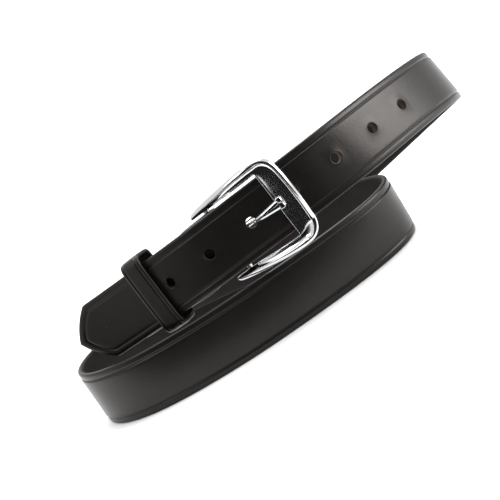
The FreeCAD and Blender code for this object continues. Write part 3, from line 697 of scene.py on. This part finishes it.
# floor, light and camera
studio = {"floor": 6.0, "card": (0.95, 1.6), "cardAt": Vector((-0.225, -0.90, 0.0005))}
bm = bmesh.new()
bmesh.ops.create_grid(bm, x_segments=1, y_segments=1, size=studio["floor"])
mesh = bpy.data.meshes.new("studioFloor")
bm.to_mesh(mesh)
bm.free()
for polygon in mesh.polygons:
    polygon.use_smooth = True
floor = bpy.data.objects.new("studioFloor", mesh)
bpy.context.scene.collection.objects.link(floor)
paper, nodes, links, shader = newMaterial("palePaper")
shader.inputs["Base Color"].default_value = (0.92, 0.92, 0.92, 1)
shader.inputs["Roughness"].default_value = 0.9
shader.inputs["Specular IOR Level"].default_value = 0.1
mesh.materials.append(paper)

world = bpy.data.worlds.new("studioAir")
world.use_nodes = True
air = world.node_tree
sky = air.nodes.new("ShaderNodeTexCoord")
lean = air.nodes.new("ShaderNodeVectorMath")              # dark in front, bright overhead and at the sides
lean.operation = "DOT_PRODUCT"
lean.inputs[1].default_value = (-0.08, -0.99, 0.05)
air.links.new(sky.outputs["Generated"], lean.inputs[0])
airTones = [(0.45, (1.0, 1.0, 1.0)), (0.70, (0.12, 0.12, 0.12)), (0.84, (0.01, 0.01, 0.01))]
fade = colourRamp(air.nodes, air.links, lean.outputs["Value"], airTones)
air.links.new(fade.outputs["Color"], air.nodes["Background"].inputs["Color"])
air.nodes["Background"].inputs["Strength"].default_value = 1.0
bpy.context.scene.world = world
bpy.context.scene.view_settings.view_transform = "Standard"


def softbox(name, place, target, size, power, tall=None):
    lamp = bpy.data.lights.new(name, "AREA")
    lamp.shape = "RECTANGLE"
    lamp.size = size
    lamp.size_y = tall or size
    lamp.energy = power
    holder = bpy.data.objects.new(name, lamp)
    holder.location = place
    holder.rotation_euler = (Vector(target) - Vector(place)).to_track_quat("-Z", "Y").to_euler()
    bpy.context.scene.collection.objects.link(holder)


bm = bmesh.new()                      # a black card that only the polished metal sees
bmesh.ops.create_grid(bm, x_segments=1, y_segments=1, size=0.5)
bmesh.ops.scale(bm, vec=(*studio["card"], 1), verts=bm.verts)
bmesh.ops.transform(bm, matrix=Matrix.Translation(studio["cardAt"]), verts=bm.verts)
mesh = bpy.data.meshes.new("blackCard")
bm.to_mesh(mesh)
bm.free()
card = bpy.data.objects.new("blackCard", mesh)
bpy.context.scene.collection.objects.link(card)
velvet, nodes, links, shader = newMaterial("blackCard")
shader.inputs["Base Color"].default_value = (0.01, 0.01, 0.01, 1)
shader.inputs["Roughness"].default_value = 1.0
shader.inputs["Specular IOR Level"].default_value = 0.0
mesh.materials.append(velvet)
card.visible_camera = False
card.visible_diffuse = False
card.visible_shadow = False

overhead = bpy.data.lights.new("overheadLight", "SUN")
overhead.energy = 2.3
overhead.angle = math.radians(50)
overheadObject = bpy.data.objects.new("overheadLight", overhead)
overheadObject.rotation_euler = (math.radians(-12), math.radians(8), 0)
bpy.context.scene.collection.objects.link(overheadObject)
softbox("keyLight", (-0.9, -0.7, 1.3), (0, 0, 0.03), 0.7, 5)
softbox("sideLight", (1.25, -0.38, 0.42), (0, 0, 0.06), 0.9, 15, 0.6)
softbox("topLight", (0.1, 0.4, 1.5), (0, 0, 0.04), 1.0, 10)

camera = {
    "place": Vector((-0.007, -0.51786, 0.14745)),
    "yaw": -0.963,
    "pitch": 12.261,
    "roll": 32.741,
    "lens": 70.3,
}
yaw, pitch, roll = (math.radians(camera[key]) for key in ("yaw", "pitch", "roll"))
forward = Vector((math.sin(yaw) * math.cos(pitch), math.cos(yaw) * math.cos(pitch), -math.sin(pitch)))
right = Vector((math.cos(yaw), -math.sin(yaw), 0))
upwards = right.cross(forward)
rolledUp = upwards * math.cos(roll) + right * math.sin(roll)
rolledRight = right * math.cos(roll) - upwards * math.sin(roll)
lens = bpy.data.cameras.new("studioCamera")
lens.sensor_width = 36
lens.lens = camera["lens"]
lens.clip_start = 0.02
cameraObject = bpy.data.objects.new("studioCamera", lens)
cameraObject.matrix_world = Matrix((
    (rolledRight.x, rolledUp.x, -forward.x, camera["place"].x),
    (rolledRight.y, rolledUp.y, -forward.y, camera["place"].y),
    (rolledRight.z, rolledUp.z, -forward.z, camera["place"].z),
    (0, 0, 0, 1)))
bpy.context.scene.collection.objects.link(cameraObject)
bpy.context.scene.camera = cameraObject
print("studio set")
